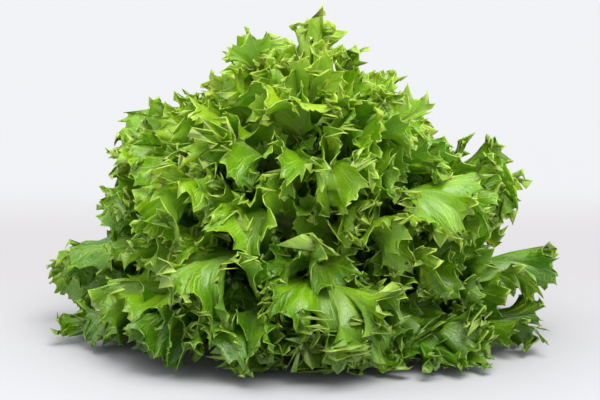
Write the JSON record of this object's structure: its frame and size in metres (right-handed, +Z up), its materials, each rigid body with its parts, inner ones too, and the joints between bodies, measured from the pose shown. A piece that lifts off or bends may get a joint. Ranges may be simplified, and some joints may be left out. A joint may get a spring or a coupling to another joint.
{
  "type": "batavia lettuce",
  "caption": "Loose head of batavia lettuce standing on its cut stem, with frilled green leaves that arch out and droop to the table round a pale upright heart.",
  "frame": {"origin": "on the surface that the head stands on, at the middle of its bounding box, within 3 mm of the axis of the stem", "axes": "+Z up along the stem; +X to the picture's right; +Y away from the picture's camera"},
  "size_m": [0.3285, 0.295, 0.2047],
  "materials": {
    "leaf_green": "fresh mid-green leaf with a soft sheen and pale veins",
    "leaf_pale": "yellow-green young leaf with a soft sheen",
    "stem": "pale moist stem, cut flat"
  },
  "bodies": {
    "root": {"stem": "stem", "leaf_01": "leaf_green", "leaf_02": "leaf_green", "leaf_03": "leaf_green", "leaf_04": "leaf_green", "leaf_05": "leaf_green", "leaf_06": "leaf_green", "leaf_07": "leaf_green", "leaf_08": "leaf_green", "leaf_09": "leaf_green", "leaf_10": "leaf_green", "leaf_11": "leaf_green", "leaf_12": "leaf_green", "leaf_13": "leaf_green", "leaf_14": "leaf_green", "leaf_15": "leaf_green", "leaf_16": "leaf_green", "leaf_17": "leaf_green", "leaf_18": "leaf_green", "leaf_19": "leaf_green", "leaf_20": "leaf_green", "leaf_21": "leaf_green", "leaf_22": "leaf_green", "leaf_23": "leaf_green", "leaf_24": "leaf_green", "leaf_25": "leaf_green", "leaf_26": "leaf_green", "leaf_27": "leaf_green", "leaf_28": "leaf_green", "leaf_29": "leaf_green", "leaf_30": "leaf_green", "leaf_31": "leaf_green", "leaf_32": "leaf_green", "leaf_33": "leaf_green", "leaf_34": "leaf_green", "leaf_35": "leaf_green", "leaf_36": "leaf_green", "leaf_37": "leaf_green", "leaf_38": "leaf_green", "leaf_39": "leaf_green", "leaf_40": "leaf_green", "leaf_41": "leaf_green", "leaf_42": "leaf_green", "leaf_43": "leaf_green", "leaf_44": "leaf_green", "leaf_45": "leaf_green", "leaf_46": "leaf_green", "leaf_47": "leaf_green", "leaf_48": "leaf_green", "leaf_49": "leaf_green", "leaf_50": "leaf_green", "leaf_51": "leaf_green", "leaf_52": "leaf_green", "leaf_53": "leaf_pale", "leaf_54": "leaf_pale", "leaf_55": "leaf_pale", "leaf_56": "leaf_pale", "leaf_57": "leaf_pale", "leaf_58": "leaf_pale"}
  },
  "joints": []
}
